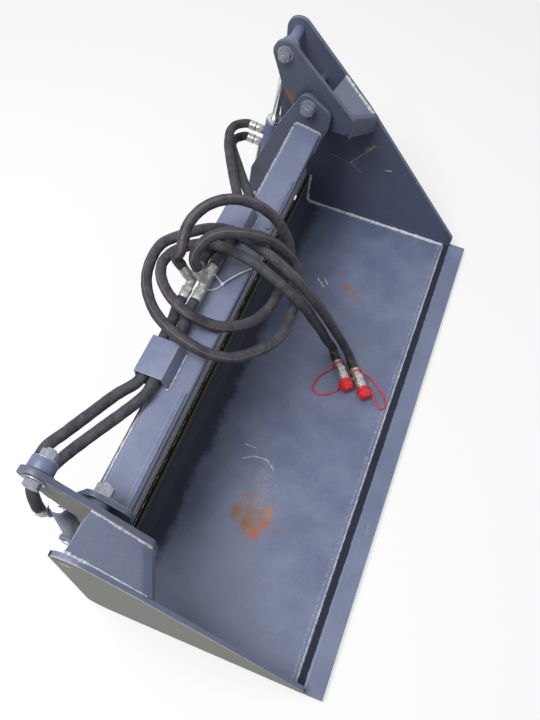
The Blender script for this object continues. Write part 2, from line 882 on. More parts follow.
def sweep(
    mesh: Mesh,
    line: Sequence[Vector],
    radius: Callable[[float, float], float],
    sides: int,
    closed: bool = False,
) -> None:
    """Sweep a ring along a line, without twist, and add the tube to a mesh.

    Args:
        mesh: what the tube goes in.
        line: the centre line in metres.
        radius: radius in metres, from the distance along the line and the angle round it.
        sides: corners of the ring.
        closed: whether the line joins up with itself.
    """
    unrolled = mesh.loops.layers.uv.verify()
    count = len(line)
    heads = []
    for i in range(count):
        ahead = line[(i + 1) % count if closed else min(i + 1, count - 1)]
        heads.append((ahead - line[i - 1 if closed else max(i - 1, 0)]).normalized())
    side = heads[0].cross(UP if abs(heads[0].z) < 0.9 else Vector((0, 1, 0))).normalized()
    rings: list[list[bmesh.types.BMVert]] = []
    distances: list[float] = []
    done = 0.0
    for i, (place, head) in enumerate(zip(line, heads)):
        side = (side - head * side.dot(head)).normalized()
        up = head.cross(side)
        done += (place - line[i - 1]).length if i else 0.0
        ring = []
        for k in range(sides):
            angle = math.tau * k / sides
            spoke = side * math.cos(angle) + up * math.sin(angle)
            ring.append(mesh.verts.new(place + spoke * radius(done, angle)))
        rings.append(ring)
        distances.append(done)
    for i in range(count if closed else count - 1):
        a, b = rings[i], rings[(i + 1) % count]
        for k in range(sides):
            j = (k + 1) % sides
            face = mesh.faces.new((a[k], a[j], b[j], b[k]))
            end = distances[i + 1] if i + 1 < count else done
            spots = ((k, distances[i]), (k + 1, distances[i]), (k + 1, end), (k, end))
            for loop, (step, run) in zip(face.loops, spots):
                loop[unrolled].uv = (step / sides, run)
    if not closed:
        mesh.faces.new(rings[0][::-1])
        mesh.faces.new(rings[-1])


@dataclass(frozen=True)
class Ring:
    """One ring of a turned piece.

    Attributes:
        along: place along the axis, in mm.
        radius: its radius, or half the width across the flats, in mm.
        flats: number of flats, or 0 where it is round.
        ridges: number of grip ridges round it.
        depth: depth of the ridges, in mm.
    """

    along: float
    radius: float
    flats: int = 0
    ridges: int = 0
    depth: float = 0.0

    def at(self, angle: float, sides: int) -> float:
        """Radius at an angle, in metres.

        Args:
            angle: angle round the axis.
            sides: corners that the piece is drawn with.

        Returns:
            The radius in metres.
        """
        size = self.radius
        if self.flats:
            wedge = math.tau / self.flats
            size /= math.cos((angle + 1e-9) % wedge - wedge / 2)
        if self.ridges:
            step = round(angle * sides / math.tau)
            size -= self.depth * (step % max(2, sides // self.ridges) == 0)
        return size * MM


def turn_up(
    mesh: Mesh, profile: Sequence[tuple[float, ...]], origin: Vector, axis: Vector, sides: int
) -> None:
    """Turn a profile round an axis and add it to a mesh.

    Args:
        mesh: what the piece goes in.
        profile: the rings from one end to the other, each as Ring takes them.
        origin: where the axis starts, in metres.
        axis: its direction.
        sides: corners of each ring.
    """
    frame = axis.to_track_quat("Z", "Y").to_matrix()
    drawn: list[list[bmesh.types.BMVert]] = []
    for ring in (Ring(*row) for row in profile):
        corners = []
        for k in range(sides):
            angle = math.tau * k / sides
            size = ring.at(angle, sides)
            corner = Vector((math.cos(angle) * size, math.sin(angle) * size, ring.along * MM))
            corners.append(mesh.verts.new(origin + frame @ corner))
        drawn.append(corners)
    for a, b in zip(drawn, drawn[1:]):
        for k in range(sides):
            j = (k + 1) % sides
            mesh.faces.new((a[k], a[j], b[j], b[k]))
    mesh.faces.new(drawn[0][::-1])
    mesh.faces.new(drawn[-1])


def soften(piece: Piece, width: float, angle: float = 35, harden: bool = True, material: int = -1) -> None:
    """Round a piece's sharp edges a little, so that they catch the light.

    Args:
        piece: the piece.
        width: how far each edge is cut back, in mm.
        angle: least turn of a sharp edge, in degrees.
        harden: whether the flat faces keep their own shading.
        material: number of the piece's material on the rounded edges, or -1 for its faces' own.
    """
    bevel = piece.modifiers.new("soft_edges", "BEVEL")
    bevel.width = width * MM
    bevel.segments = 2
    bevel.limit_method = "ANGLE"
    bevel.angle_limit = math.radians(angle)
    bevel.harden_normals = harden
    bevel.material = material


# Sub-assemblies


@dataclass
class Studio:
    """Camera at the photograph's place, pale floor and soft lights.

    Attributes:
        eye: the camera's place in metres.
        turn: its rotation as a quaternion.
        focal: its focal length in pixels of a frame this many pixels high.
        frame_height: height of the frame in pixels.
        sensor: width of the camera's sensor, in mm.
        reach: half the length of the floor's side, in metres.
        drop: how far the floor lies under the bucket, in metres.
        glow: share of the floor's own white in what the camera sees.
    """

    eye: Triple = (-0.888172, -0.194379, 1.846651)
    turn: tuple[float, float, float, float] = (0.8032532, 0.1907578, -0.1603349, -0.5410069)
    focal: float = 676.85
    frame_height: float = 720.0
    sensor: float = 36.0
    reach: float = 14.0
    drop: float = 0.0004
    glow: float = 0.6

    def put(self, name: str, data: bpy.types.ID, place: Triple, turn: Quaternion) -> Piece:
        """Put a camera or a lamp in the scene.

        Args:
            name: its name.
            data: the camera or the lamp.
            place: where it is, in metres.
            turn: which way it looks.

        Returns:
            Its object.
        """
        made = put_in(name, data)
        made.rotation_mode = "QUATERNION"
        made.location = place
        made.rotation_quaternion = turn
        return made

    def camera(self) -> None:
        """Make the camera and set it as the scene's own."""
        data = bpy.data.cameras.new("camera")
        data.sensor_width = self.sensor
        data.lens = self.focal * data.sensor_width / self.frame_height
        data.clip_start, data.clip_end = 0.05, 60.0
        bpy.context.scene.camera = self.put("camera", data, self.eye, Quaternion(self.turn))

    def lamp(self, name: str, place: Triple, aim: Triple, size: float, watts: float) -> None:
        """Make one soft square lamp.

        Args:
            name: its name.
            place: where it hangs, in metres.
            aim: what it points at, in metres.
            size: length of its side, in metres.
            watts: its power.
        """
        data = bpy.data.lights.new(name, "AREA")
        data.size = size
        data.energy = watts
        self.put(name, data, place, (Vector(aim) - Vector(place)).to_track_quat("-Z", "Y"))

    def floor(self) -> None:
        """Lay the pale floor, which the camera sees as white but for the shadow."""
        mesh = bmesh.new()
        bmesh.ops.create_grid(mesh, x_segments=2, y_segments=2, size=self.reach)
        for corner in mesh.verts:
            corner.co.z = -self.drop
        made, tree, shader = start_material("pale_floor")
        lit = add_node(tree, Kind.EMISSION, {"Color": srgb("#ffffff"), "Strength": 1.0})
        diffuse = add_node(tree, Kind.PATH, out="Is Diffuse Ray")
        rays = diffuse.node.outputs
        # It throws less light up at the steel than its own white would, as the yard's ground did
        both = {0: diffuse, 6: srgb("#f4f4f4"), 7: srgb("#8f8f8f")}
        thrown = add_node(tree, Kind.MIX, both, 2, data_type="RGBA")
        feed(tree, shader, {"Roughness": 0.9, "Base Color": thrown})
        seen = add_node(tree, Kind.MATH, (rays["Is Camera Ray"], rays["Is Glossy Ray"]), operation="MAXIMUM")
        share = add_node(tree, Kind.MATH, (seen, self.glow), operation="MULTIPLY")
        blend = add_node(tree, Kind.MIX_SHADER, (share, shader.outputs["BSDF"], lit))
        feed(tree, tree.nodes["Material Output"], {"Surface": blend})
        new_piece("floor", mesh, made, smooth=False)

    def sky(self) -> None:
        """Make the pale surroundings, white to the camera and to the metal."""
        world = bpy.data.worlds.new("studio")
        world.use_nodes = True
        bpy.context.scene.world = world
        tree = world.node_tree
        glossy = add_node(tree, Kind.PATH, out="Is Glossy Ray")
        rays = glossy.node.outputs
        shiny = add_node(tree, Kind.MATH, (glossy, rays["Is Transmission Ray"]), operation="MAXIMUM")
        bright = add_node(tree, Kind.MATH, (rays["Is Camera Ray"], shiny), operation="MAXIMUM")
        # Clear above and dim towards the yard's horizon, for the light that falls on the steel
        height = add_node(tree, Kind.SPLIT, (add_node(tree, Kind.PLACE, out="Generated"),), "Z")
        dim = add_node(tree, Kind.RANGE, (height, 0.0, 1.0, 0.12, 0.60))
        strength = add_node(tree, Kind.MIX, {0: bright, 2: dim, 3: 1.0})
        feed(tree, tree.nodes["Background"], {"Color": srgb("#ffffff"), "Strength": strength})

    def build(self) -> None:
        """Set the whole studio up."""
        bpy.context.scene.view_settings.view_transform = "Standard"
        self.camera()
        self.floor()
        self.sky()
        self.lamp("overhead", (-0.95, 1.15, 3.5), (0.1, 0.0, 0.1), 1.5, 108.0)
        self.lamp("front_fill", (1.8, -3.0, 2.2), (0.0, 0.0, 0.2), 2.5, 3.0)


@dataclass(frozen=True)
class Dressing:
    """Finishes of the CAD nodes that stay, and the soft edges of their plates.

    Attributes:
        palette: the finishes.
        groups: each finish and slot, and the nodes that have them; the others are plain enamel.
        soiled: painted nodes whose edges aren't chipped.
        edge: how far a painted plate's edge is rounded, in mm.
        metal_edge: how far any other edge is rounded, in mm.
        sharp: least turn of an edge that is rounded, in degrees.
        facet: most turn between facets of one plane, in degrees.
        touching: how near corners are that are one, in metres.
    """

    palette: Palette
    groups: tuple[tuple[Finish, Slot, tuple[str, ...]], ...] = (
        (Finish.FLOOR, Slot.PAINT, ("jaw_floor",)),
        (Finish.NEAR, Slot.PAINT, ("side_plate_left",)),
        (Finish.FAR, Slot.PAINT, ("side_plate_right",)),
        (Finish.ARM, Slot.PAINT, ("arm_left", "arm_right", "end_plate_left", "end_plate_right")),
        (Finish.EDGE, Slot.PAINT, ("cutting_edge",)),
        (Finish.GRITTY, Slot.PAINT, ("back_plate",)),
        (Finish.SHEAR, Slot.PAINT, ("back_edge",)),
        (Finish.TUBE, Slot.PAINT, (
            "top_beam", "hose_guard_left", "hose_guard_right", "arm_cover_left", "arm_cover_right",
        )),
        (Finish.ARM, Slot.ZINC, ("pivot_bushes",)),
        (Finish.ZINC, Slot.ZINC, (
            "base_pins", "hitch_pin_left", "hitch_pin_right", "hydraulic_tees", "port_fittings_left",
            "port_fittings_right", "tee_hose_ends", "piston_left", "piston_right",
        )),
        (Finish.DARK_ZINC, Slot.ZINC, (
            "ear_bolt_left", "ear_bolt_right", "nuts", "pivot_pin_left", "pivot_pin_right", "washers",
        )),
        (Finish.CHROME, Slot.CHROME, ("gland_left", "gland_right", "rod_left", "rod_right")),
    )
    soiled: tuple[str, ...] = ("back_edge", "back_plate", "jaw_floor")
    edge: float = 1.1
    metal_edge: float = 0.5
    sharp: float = 38.0
    facet: float = 0.8
    touching: float = 0.00002

    def dress(self, node: Piece) -> None:
        """Give one CAD node its finish and soft, slightly chipped edges.

        Args:
            node: the CAD node.
        """
        finish, slot = next(
            ((kind, place) for kind, place, names in self.groups if node.name in names),
            (Finish.ENAMEL, Slot.PAINT),
        )
        painted = slot is Slot.PAINT
        node.data.materials.clear()
        node.data.materials.append(self.palette[finish])
        node.data.materials.append(
            self.palette[Finish.CHIPPED if painted and node.name not in self.soiled else finish]
        )
        node.modifiers.new("join_corners", "WELD").merge_threshold = self.touching
        flat = node.modifiers.new("join_facets", "DECIMATE")
        flat.decimate_type = "DISSOLVE"
        flat.angle_limit = math.radians(self.facet)
        soften(node, self.edge if painted else self.metal_edge, self.sharp, False, 1 if painted else -1)

    def build(self, nodes: dict[str, Piece]) -> None:
        """Dress every CAD node.

        Args:
            nodes: the CAD nodes by name.
        """
        for name in sorted(nodes):
            self.dress(nodes[name])
            LOG.info("dressed %s", name)


@dataclass(frozen=True)
class HoseRun:
    """One sleeved hose.

    Attributes:
        node: the CAD node that it stands for.
        route: its points in mm, from the frame's tee to a coupling, or from a cylinder's port to the tee.
        body: what its far end rides on; the end at the tee rides on the frame.
        start: where it starts to leave the frame, in mm.
        end: where it has fully joined the other body, in mm.
    """

    node: str
    route: tuple[Triple, ...]
    body: Body
    start: Triple
    end: Triple

    def feeds(self) -> bool:
        """Whether it is one of the two feed hoses, which end in a coupling."""
        return self.body is Body.JAW

    def line(self) -> list[Vector]:
        """Its centre line from the tee outwards, in metres."""
        line = evenly(smooth_route(self.route, CORD_STEPS), HOSE_PITCH)
        return line if self.feeds() else line[::-1]


HOSE_RIGHT_REAR = HoseRun(
    "hose_right_rear",
    ((656, 748.2, 352.1), (656, 775, 355), (646, 795, 355), (620, 806, 364), (585, 806, 374),
     (550, 795, 385), (505, 778, 398), (420, 735, 425), (330, 686, 455), (268, 651, 471),
     (235, 641.3, 476), (190, 641, 477), (130, 641, 478), (70, 642, 482), (43, 643.6, 489.8),
     (16, 643.6, 489.8)),
    Body.BARREL_RIGHT, (300, 641, 478), (630, 641, 478),
)
HOSE_RIGHT_FRONT = HoseRun(
    "hose_right_front",
    ((656, 753.9, 299.4), (656, 780.7, 302.3), (646, 795, 303), (620, 805, 311), (585, 800, 324),
     (550, 783, 340), (480, 741, 372), (380, 682, 420), (300, 632, 461), (262, 613, 473),
     (235, 612, 477), (190, 612, 477), (130, 612, 478), (80, 612, 481), (49, 613.6, 489.8),
     (22, 613.6, 489.8)),
    Body.BARREL_RIGHT, (300, 641, 478), (630, 641, 478),
)
RUNS = (
    HoseRun(
        "hose_left_rear",
        ((-650.8, 728.5, 402.3), (-650.8, 725.6, 429.1), (-632, 738, 462), (-590, 750, 476),
         (-545, 752, 478), (-500, 730, 480), (-445, 702, 484), (-380, 672, 482), (-342, 649, 479),
         (-318, 641.3, 478), (-280, 641, 477), (-200, 641, 477), (-150, 642, 480), (-123, 643.6, 489.8),
         (-96, 643.6, 489.8)),
        Body.BARREL_LEFT, (-340, 641, 478), (-600, 641, 478),
    ),
    HoseRun(
        "hose_left_front",
        ((-599.2, 734.2, 349.6), (-599.2, 731.3, 376.4), (-592, 737, 420), (-570, 732, 440),
         (-535, 712, 455), (-500, 690, 466), (-460, 666, 474), (-410, 638, 479), (-360, 616, 478),
         (-325, 612, 477), (-215, 612, 477), (-150, 612, 480), (-117, 613.6, 489.8),
         (-90, 613.6, 489.8)),
        Body.BARREL_LEFT, (-340, 641, 478), (-590, 641, 478),
    ),
    HOSE_RIGHT_REAR,
    HOSE_RIGHT_FRONT,
    HoseRun(
        "feed_hose_outer",
        ((-34, 628.1, 543.9), (-34, 635.1, 570), (-20, 634, 592), (8, 618, 610), (32, 593, 615),
         (51, 560, 610), (74, 527, 592), (96, 492, 561), (119, 460, 508), (128, 439, 470),
         (116, 420, 440), (76, 407, 424), (10, 396, 421), (-55, 396, 430), (-108, 415, 438),
         (-170, 462, 455), (-196, 496, 473), (-210, 531, 492), (-214, 569, 512), (-202, 614, 514),
         (-170, 672, 510), (-127, 715, 505), (-80, 743, 503), (-29, 755, 505), (17, 750, 512),
         (47, 723, 520), (76, 687, 527), (96, 648, 535), (102, 597, 542), (85, 538, 545), (70, 481, 540),
         (58, 439, 528), (50, 402, 510), (50, 363, 464), (68, 331, 392), (107, 309, 290),
         (150, 288, 180), (174, 262, 95), (176, 240, 50), (163, 226, 35.8), (142, 209, 35.8)),
        Body.JAW, (60, 440, 500), (150, 270, 110),
    ),
    HoseRun(
        "feed_hose_inner",
        ((-40, 667.3, 540.6), (-40, 678.7, 565.1), (-33, 668, 590), (17, 672, 622), (75, 652, 634),
         (127, 612, 624), (158, 561, 598), (175, 514, 552), (177, 482, 500), (172, 465, 460),
         (147, 455, 438), (108, 452, 428), (51, 450, 424), (-2, 455, 430), (-53, 471, 440),
         (-91, 499, 452), (-118, 535, 466), (-132, 573, 485), (-143, 609, 518), (-114, 665, 516),
         (-75, 705, 510), (-39, 723, 508), (-12, 723, 508), (15, 709, 512), (39, 682, 516),
         (56, 650, 520), (60, 614, 524), (51, 558, 530), (38, 497, 528), (22, 430, 505), (21, 394, 476),
         (36, 368, 425), (67, 350, 340), (117, 332, 225), (157, 313, 115), (178, 295, 55),
         (169.3, 282.6, 35.8), (148, 266, 35.8)),
        Body.JAW, (60, 440, 500), (150, 270, 110),
    ),
)


@dataclass
class Hoses:
    """The six sleeved hoses, a tie and the tape at the couplings.

    Attributes:
        palette: the finishes.
        sides: corners of the tube.
        gathers: distance between the sleeve's gathers, in metres.
        lumps: distance between its wider swellings, in metres.
        swell: how far either goes, as a share of the radius.
        ridge: how far the seam stands out, as a share of the radius.
        plain: length at each end that isn't gathered, in metres.
        slack: the sleeve's radius between swellings, as a share of its own.
        seam: how far round the sleeve half the seam goes, in radians.
        made: the hoses by node.
        lines: their centre lines by node.
    """

    palette: Palette
    sides: int = 24
    gathers: float = 0.031
    lumps: float = 0.083
    swell: float = 0.012
    ridge: float = 0.03
    plain: float = 0.03
    slack: float = 0.99
    seam: float = 0.11
    made: dict[str, Piece] = field(default_factory=dict)
    lines: dict[str, list[Vector]] = field(default_factory=dict)

    def hose(self, run: HoseRun) -> None:
        """Build one hose, its sleeve slightly gathered along its length.

        Args:
            run: the hose.
        """
        line = self.lines[run.node] = run.line()
        total = length_of(line)
        drift = random.Random(len(run.node))
        phases = [drift.uniform(0, math.tau) for _ in range(3)]

        def radius(done: float, angle: float) -> float:
            """Radius of the gathered sleeve.

            Args:
                done: distance along the line, in metres.
                angle: angle round it.

            Returns:
                The radius in metres.
            """
            ends = min(1.0, min(done, total - done) / self.plain)
            waves = math.sin(done * math.tau / self.gathers + phases[0] + 0.8 * math.sin(angle + phases[2]))
            lumps = math.sin(done * math.tau / self.lumps + phases[1] + 2 * angle)
            ridge = self.ridge * math.exp(-(((angle - math.pi) / self.seam) ** 2))
            return SLEEVE_D / 2 * MM * (self.slack + ends * self.swell * (waves + lumps) + ridge)

        mesh = bmesh.new()
        sweep(mesh, line, radius, self.sides)
        made = self.made[run.node] = new_piece(f"sleeved_{run.node}", mesh, self.palette[Finish.SLEEVE])
        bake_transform(made)
        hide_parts(run.node)
        LOG.info("built %s, %.2f m", made.name, total)

    def cuff(
        self, name: str, line: Sequence[Vector], start: float, width: float, body: Body, proud: float
    ) -> Piece:
        """Wrap a band of tape round a hose.

        Args:
            name: the piece's name.
            line: the hose's centre line.
            start: where the band starts, as a distance in mm.
            width: its width in mm.
            body: what it rides on.
            proud: how far it stands above the sleeve, in mm.

        Returns:
            The piece.
        """
        fine = evenly(line, CUFF_PITCH)
        pitch = length_of(line) / (len(fine) - 1)
        first = max(0, round(start * MM / pitch))
        last = min(len(fine) - 1, first + max(2, round(width * MM / pitch)))
        mesh = bmesh.new()
        sweep(mesh, fine[first : last + 1], lambda done, angle: (SLEEVE_D / 2 + proud) * MM, self.sides)
        made = new_piece(name, mesh, self.palette[Finish.TAPE])
        soften(made, 0.4)
        settle(made, body)
        return made

    def build(self) -> dict[str, list[Piece]]:
        """Build all six hoses and their bands.

        Returns:
            The bands on each hose, by the hose's node.
        """
        for run in RUNS:
            self.hose(run)
        bands: dict[str, list[Piece]] = {}
        outer, inner = "feed_hose_outer", "feed_hose_inner"
        for node in (outer, inner):
            line = self.lines[node]
            bands[node] = [self.cuff(f"tape_{node}", line, length_of(line) / MM - 30, 28, Body.JAW, 0.6)]
        bands[inner].append(self.cuff(f"black_tie_{inner}", self.lines[inner], 78, 11, Body.FRAME, 1.0))
        return bands

    def declare(self) -> None:
        """Declare every hose as a cord.
        """
        for run in RUNS:
            "connector" if run.feeds() else "object"


# Turned profiles along a coupling, in mm from where the hose enters: its crimp, nut, grip sleeve and nose
CRIMPS = [
    ring
    for start in (3.0, 9.0, 15.0)
    for ring in ((start, 14), (start + 0.6, 13.0), (start + 3.6, 13.0), (start + 4.2, 14))
]
COUPLING_PROFILE = [
    (0, 12.6), (1.5, 14), *CRIMPS, (22, 14), (23, 12.4), (25.6, 12.4), (26, 15.4, 6), (27.2, 16.9, 6),
    (38.8, 16.9, 6), (40, 15.4, 6), (40.2, 14.6), (42, 14.6), (42.4, 16.6), (45.5, 16.6), (46, 15.4),
    (48.4, 15.4), (49, 16.9, 0, 24, 0.5), (57, 16.9, 0, 24, 0.5), (57.6, 15.6), (60.4, 15.6), (61, 16.9),
    (66.4, 16.9), (67.8, 15.6), (68, 12.4), (89, 12.4), (90, 11.4),
]
CAP_START = 68.3
CAP_PROFILE = [
    (CAP_START + along, *rest)
    for along, *rest in (
        (0, 17.6), (0.8, 19.3), (7, 19.3), (7.4, 18.2), (10, 18.2), (10.4, 19.4, 0, 24, 0.9),
        (25.6, 19.4, 0, 24, 0.9), (27, 18.0), (27.4, 16.4), (32.6, 16.4), (33.8, 15.0), (33.9, 9.0),
        (33.0, 8.6),
)
]


@dataclass(frozen=True)
class Coupling:
    """A flat-face quick coupling with its dust cap and lanyard, lying on the bucket's floor.

    Attributes:
        side: which of the two it is.
        place: where the hose enters, in mm.
        turn: the way it points, in degrees from straight ahead towards the left.
        route: points of the lanyard in mm, from the cap to the crimp.
        rings: the lanyard's two rings: their place along the coupling and their reach, in mm.
    """

    side: str
    place: Triple
    turn: float
    route: tuple[Triple, ...]
    rings: tuple[tuple[float, float], ...] = ((13.0, 16.4), (CAP_START + 8.7, 20.4))

    def axis(self) -> Vector:
        """The way the coupling points."""
        turn = math.radians(self.turn)
        return Vector((-math.sin(turn), -math.cos(turn), 0.0))

    def turned(self, palette: Palette) -> list[Piece]:
        """Turn the coupling and its cap, and put them on the jaw.

        Args:
            palette: the finishes.

        Returns:
            The coupling and its cap.
        """
        pieces = []
        for name, node, profile, sides, finish, slot, edge in (
            ("quick_coupling", "coupler", COUPLING_PROFILE, 48, Finish.ZINC, Slot.ZINC, 0.3),
            ("red_cap", "dust_cap", CAP_PROFILE, 72, Finish.RED, Slot.RED, 0.4),
        ):
            mesh = bmesh.new()
            turn_up(mesh, profile, point(*self.place), self.axis(), sides)
            made = new_piece(f"{name}_{self.side}", mesh, palette[finish], smooth=False)
            soften(made, edge)
            settle(made, Body.JAW, f"{node}_{self.side}")
            pieces.append(made)
        return pieces

    def lanyard(self, palette: Palette) -> tuple[Piece, list[Vector]]:
        """Run the lanyard from the cap to the crimp.

        Args:
            palette: the finishes.

        Returns:
            The piece and its centre line in metres.
        """
        line = evenly(smooth_route(self.route, CORD_STEPS), THIN_PITCH)
        mesh = bmesh.new()
        sweep(mesh, line, lambda done, angle: LANYARD_R * MM, 12)
        made = new_piece(f"red_lanyard_{self.side}", mesh, palette[Finish.RED])
        settle(made, Body.JAW, "lanyards")
        return made, line

    def loops(self, palette: Palette) -> Piece:
        """Mould the lanyard's two rings, one round the crimp and one in the cap's groove.

        Args:
            palette: the finishes.

        Returns:
            The rings, as one piece.
        """
        mesh = bmesh.new()
        across = self.axis().cross(UP)
        angles = [math.tau * k / 40 for k in range(40)]
        for along, reach in self.rings:
            middle = point(*self.place) + self.axis() * along * MM
            loop = [middle + (across * math.cos(a) + UP * math.sin(a)) * reach * MM for a in angles]
            sweep(mesh, loop, lambda done, angle: RING_R * MM, 10, closed=True)
        made = new_piece(f"red_rings_{self.side}", mesh, palette[Finish.RED])
        settle(made, Body.JAW)
        return made

    def build(self, palette: Palette) -> list[Piece]:
        """Args:
            palette: the finishes.

        Returns:
            The coupling and its cap.
        """
        pieces = self.turned(palette)
        made, line = self.lanyard(palette)
        self.loops(palette)
        return pieces


COUPLINGS = {
    "feed_hose_inner": Coupling(
        "inner", (148, 266, 35.8), 52,
        ((67.3, 231.2, 35.8), (60, 236, 22), (42, 254, 20), (29, 280, 19), (36, 304, 19), (62, 306, 20),
         (90, 298, 24), (127.4, 271.2, 35.8)),
    ),
    "feed_hose_outer": Coupling(
        "outer", (142, 209, 35.8), 51,
        ((90, 138.2, 35.8), (62, 112, 26), (52, 94, 20), (66, 84, 19), (92, 92, 19), (116, 118, 19),
         (136, 146, 22), (142.5, 187.8, 35.8)),
    ),
}


@dataclass(frozen=True)
class CoverPlate:
    """Sloping cover plate between an arm and its side plate, cut off at the rear as in the photograph.

    Attributes:
        side: which of the two it is.
        across: places of its edges along the width, at the arm and at the side plate, in mm.
        front: depth of its front corners, at the arm and at the side plate, in mm.
        rear: depth of its rear corners, in mm.
        below: how far its two faces lie under the plates' upper edges, square to them, in mm.
        on_edge: depth and height of a point on those upper edges, in mm.
        rise: how far the edges rise for each mm of depth.
    """

    side: str
    across: tuple[float, float]
    front: tuple[float, float]
    rear: tuple[float, float]
    below: tuple[float, float] = (3.0, 11.0)
    on_edge: tuple[float, float] = (428.0, 478.5)
    rise: float = 0.9759

    def corner(self, x: float, back: float, below: float) -> Vector:
        """Place of a corner, on the slope of the plates' upper edges.

        Args:
            x: place along the width, in mm.
            back: its depth, in mm.
            below: how far it lies under the upper edges, in mm.

        Returns:
            The place in metres.
        """
        depth, height = self.on_edge
        return point(x, back, height + (back - depth) * self.rise - below * math.hypot(1.0, self.rise))

    def build(self, palette: Palette) -> None:
        """Build the plate and put it on the jaw.

        Args:
            palette: the finishes.
        """
        (arm, plate), (front_a, front_b), (rear_a, rear_b) = self.across, self.front, self.rear
        spots = ((arm, front_a), (plate, front_b), (plate, rear_b), (arm, rear_a))
        mesh = bmesh.new()
        top, under = ([mesh.verts.new(self.corner(*spot, below)) for spot in spots] for below in self.below)
        mesh.faces.new(top)
        mesh.faces.new(under[::-1])
        for k in range(4):
            j = (k + 1) % 4
            mesh.faces.new((top[j], top[k], under[k], under[j]))
        bmesh.ops.recalc_face_normals(mesh, faces=mesh.faces[:])
        made = new_piece(f"cover_{self.side}", mesh, palette[Finish.TUBE], smooth=False)
        made.data.materials.append(palette[Finish.CHIPPED])
        soften(made, 1.0, harden=False, material=1)
        settle(made, Body.JAW, f"arm_cover_{self.side}")


@dataclass(frozen=True)
class PortFerrule:
    """Crimped steel shell over the end of a hose at its cylinder's port.

    Attributes:
        name: the piece's name.
        run: the hose; its route starts at the port.
        profile: the shell's rings along the hose, in mm.
    """

    name: str
    run: HoseRun
    profile: tuple[tuple[float, float], ...] = (
        (-1.0, 12.6), (-0.4, 14.2), (6.0, 14.3), (7.0, 13.8), (9.0, 13.8), (10.0, 14.3), (20.0, 14.3),
        (22.0, 13.7),
)

    def build(self, palette: Palette) -> None:
        """Turn the shell round the hose's end.

        Args:
            palette: the finishes.
        """
        start, ahead = (point(*p) for p in self.run.route[:2])
        mesh = bmesh.new()
        turn_up(mesh, self.profile, start, (ahead - start).normalized(), 32)
        settle(new_piece(self.name, mesh, palette[Finish.ZINC]), self.run.body)


PLAIN_PIECES = (
    CoverPlate("left", (-652.2, -737.8), (457.5, 420.5), (561.0, 567.0)),
    CoverPlate("right", (641.2, 737.8), (457.5, 405.5), (525.0, 514.0)),
    PortFerrule("hose_ferrule_right_rear", HOSE_RIGHT_REAR),
    PortFerrule("hose_ferrule_right_front", HOSE_RIGHT_FRONT),
)


@dataclass(frozen=True)
class Bead:
    """One weld bead.

    Attributes:
        name: the piece's name.
        body: what it rides on.
        route: its corners in mm.
        radius: how far it stands out of the corner, in mm.
        chipped: whether its paint has come off in flecks.
    """

    name: str
    body: Body
    route: tuple[Triple, ...]
    radius: float
    chipped: bool = False


def heel_seam(x: float) -> tuple[Triple, ...]:
    """Corners of the seam between the jaw's sheet and a side plate, from the edge round to the heel's top.

    Args:
        x: the seam's place along the width, in mm.

    Returns:
        The corners in mm.
    """
    middle, bend_r = (557, 36), 20
    angles = (math.pi / 2 * k / 6 for k in range(7))
    bend = tuple((x, middle[0] + bend_r * math.sin(a), middle[1] - bend_r * math.cos(a)) for a in angles)
    return ((x, 76, 16), *bend, (x, 577, 142))


def around_tube(x: float) -> tuple[Triple, ...]:
    """Corners of the seam round the square tube's end.

    Args:
        x: the seam's place along the width, in mm.

    Returns:
        The corners in mm.
    """
    tilt, cut = math.radians(10.7), 0.84
    middle, half = (577.7, 415.1), 40.0
    return tuple(
        (
            x,
            middle[0] + half * (u * math.cos(tilt) - v * math.sin(tilt)),
            middle[1] + half * (u * math.sin(tilt) + v * math.cos(tilt)),
        )
        for u, v in (
            (-1, cut), (-cut, 1), (cut, 1), (1, cut), (1, -cut), (cut, -1), (-cut, -1), (-1, -cut),
            (-1, cut),
)
    )


